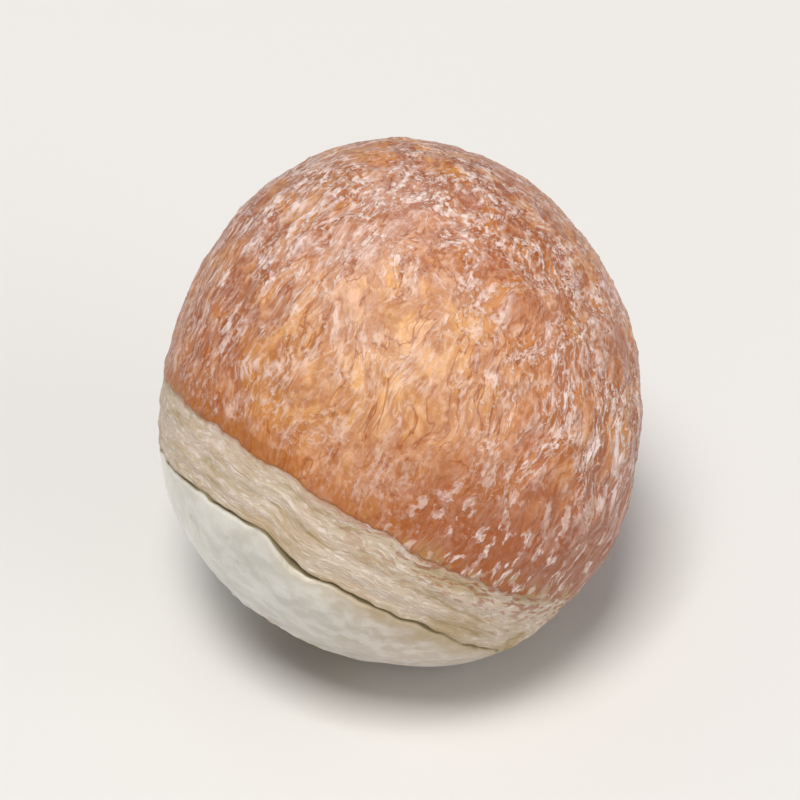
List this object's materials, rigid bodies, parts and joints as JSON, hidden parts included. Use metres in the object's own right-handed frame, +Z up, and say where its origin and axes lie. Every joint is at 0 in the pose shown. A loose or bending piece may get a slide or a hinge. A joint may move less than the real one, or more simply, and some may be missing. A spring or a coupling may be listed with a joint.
{
  "type": "fox nut",
  "caption": "Whole dried fox nut kernel, nearly round, with wrinkled brown skin, a pale waxy cap and a dark hilum pit, lying on a small flat spot.",
  "frame": {"origin": "middle of the flat spot that the nut rests on", "axes": "+Z up from the surface it lies on, -Y towards the viewer of the picture, +X to the right in the picture"},
  "size_m": [0.0095, 0.0098, 0.01],
  "materials": {
    "kernel": "satin"
  },
  "bodies": {
    "root": {"fox_nut": "kernel"}
  },
  "joints": []
}
